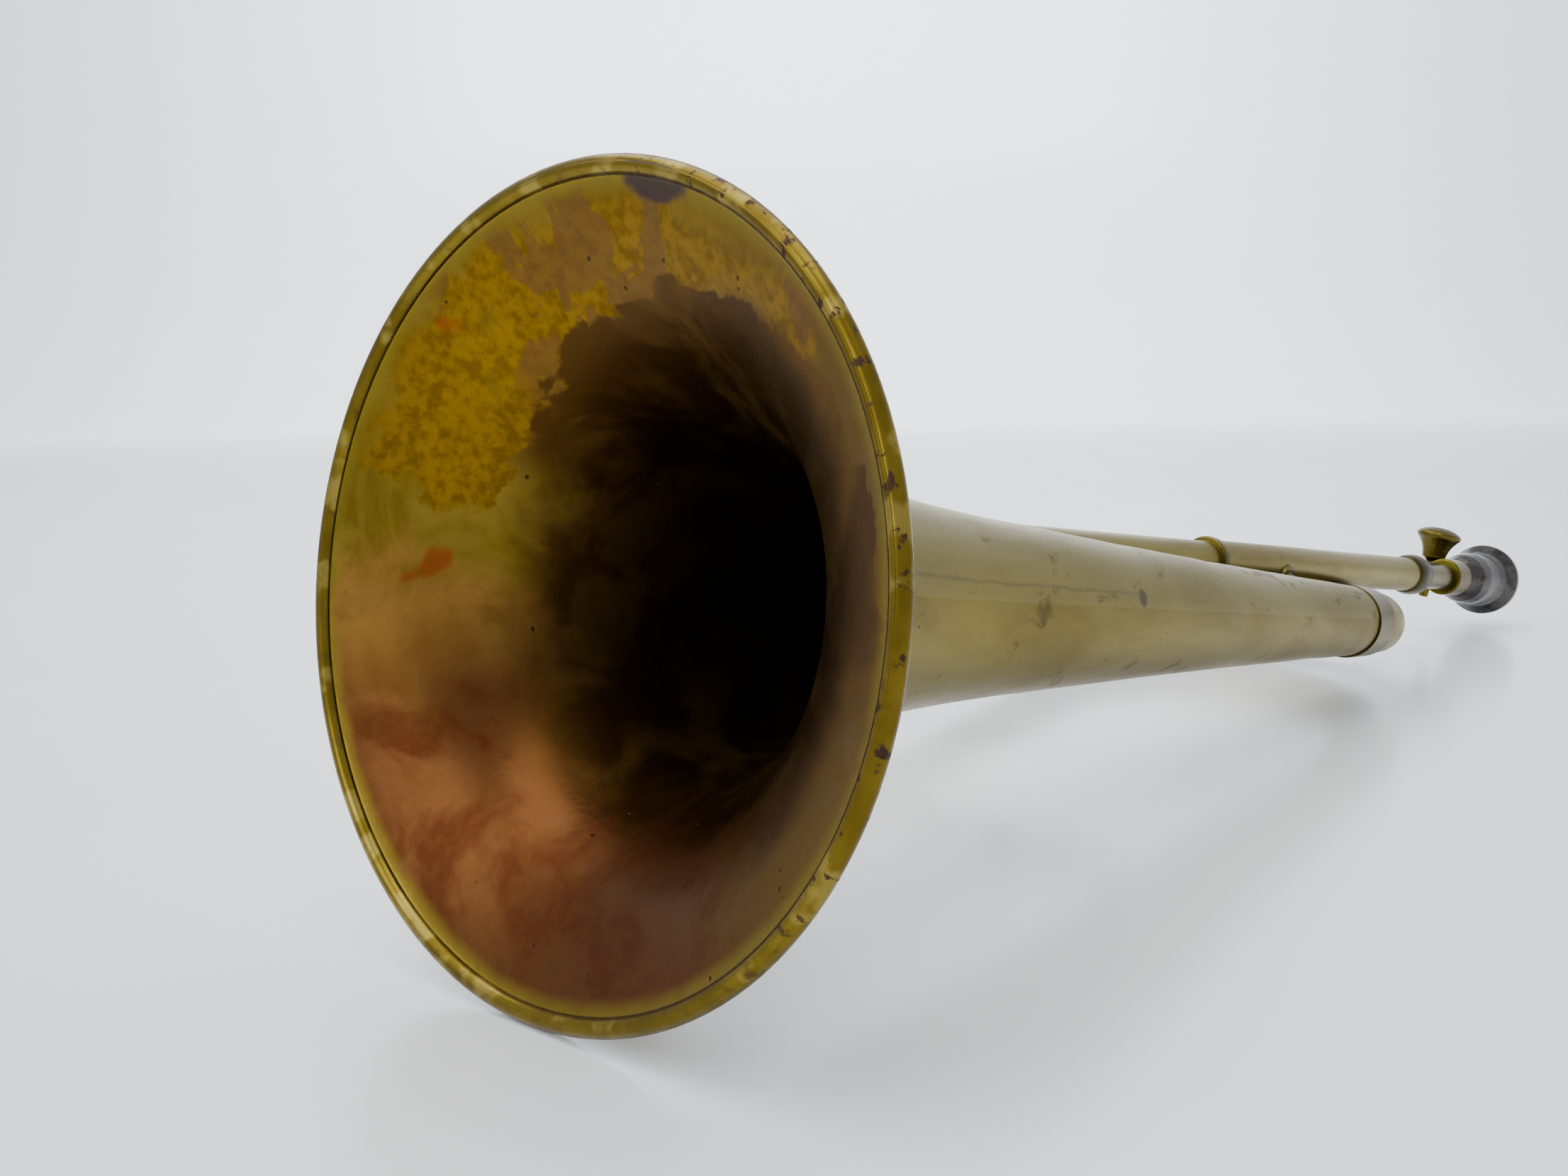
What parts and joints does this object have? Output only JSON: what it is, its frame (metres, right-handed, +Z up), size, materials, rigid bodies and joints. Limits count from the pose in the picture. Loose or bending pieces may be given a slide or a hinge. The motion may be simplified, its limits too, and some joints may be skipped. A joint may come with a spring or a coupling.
{
  "type": "bugle",
  "caption": "Brass bugle lying on its side: flared bell, one loop of conical tube, leadpipe with clamped tuning slide, and a removable cup mouthpiece.",
  "frame": {"origin": "centre of the footprint on the table that the bugle lies on", "axes": "+Z up from the table, +X level along the bell tube from the bell's mouth towards the mouthpiece, +Y towards the far side of the loop"},
  "size_m": [0.4976, 0.1852, 0.1289],
  "materials": {
    "bell_brass": "worn, patchy patina",
    "tube_brass": "satin, hand-worn",
    "fitting_brass": "dull, tarnished",
    "shank_brass": "satin",
    "clamp_brass": "dull olive",
    "mouthpiece_metal": "tarnished silver-grey plate"
  },
  "bodies": {
    "horn": {"bell": "bell_brass", "rim_bead": "bell_brass", "bell_ferrule": "fitting_brass", "rear_bow": "tube_brass", "rear_bow_ferrule": "fitting_brass", "far_tube": "tube_brass", "front_bow_ferrule": "fitting_brass", "front_bow": "tube_brass", "leadpipe_ferrule": "fitting_brass", "leadpipe": "tube_brass", "leadpipe_ring": "fitting_brass", "slide_sleeve": "tube_brass", "ball_ferrule": "fitting_brass", "front_stay": "fitting_brass", "rear_stay": "fitting_brass", "brace_rod": "fitting_brass", "brace_foot_near": "fitting_brass", "brace_foot_far": "fitting_brass", "cord_eyes": "fitting_brass"},
    "tuning_slide": {"tuning_shank": "shank_brass", "clamp_collar": "clamp_brass"},
    "clamp_screw": {"thumbscrew": "clamp_brass"},
    "mouthpiece_body": {"mouthpiece": "mouthpiece_metal"},
    "front_ring": {"cord_ring_front": "fitting_brass"},
    "rear_ring": {"cord_ring_rear": "fitting_brass"}
  },
  "joints": [
    {"name": "tuning_slide_travel", "type": "slide", "parent": "horn", "child": "tuning_slide", "axis": [0.9928, 0.0012, -0.12], "range_m": [-0.025, 0.02]},
    {"name": "thumbscrew_turn", "type": "hinge", "parent": "tuning_slide", "child": "clamp_screw", "pos_m": [0.20845, 0.00077, 0.02367], "axis": [0.1182, -0.1822, 0.9761], "range_deg": [0, 360]},
    {"name": "mouthpiece_pull_out", "type": "slide", "parent": "tuning_slide", "child": "mouthpiece_body", "axis": [0.9928, 0.0012, -0.12], "range_m": [0, 0.045]},
    {"name": "front_ring_swing", "type": "hinge", "parent": "horn", "child": "front_ring", "pos_m": [-0.10342, 0.08769, 0.03336], "axis": [0.9914, 0, -0.131], "range_deg": [-12, 110]},
    {"name": "rear_ring_swing", "type": "hinge", "parent": "horn", "child": "rear_ring", "pos_m": [-0.02908, 0.08856, 0.02344], "axis": [0.9914, 0, -0.131], "range_deg": [-12, 110]}
  ]
}
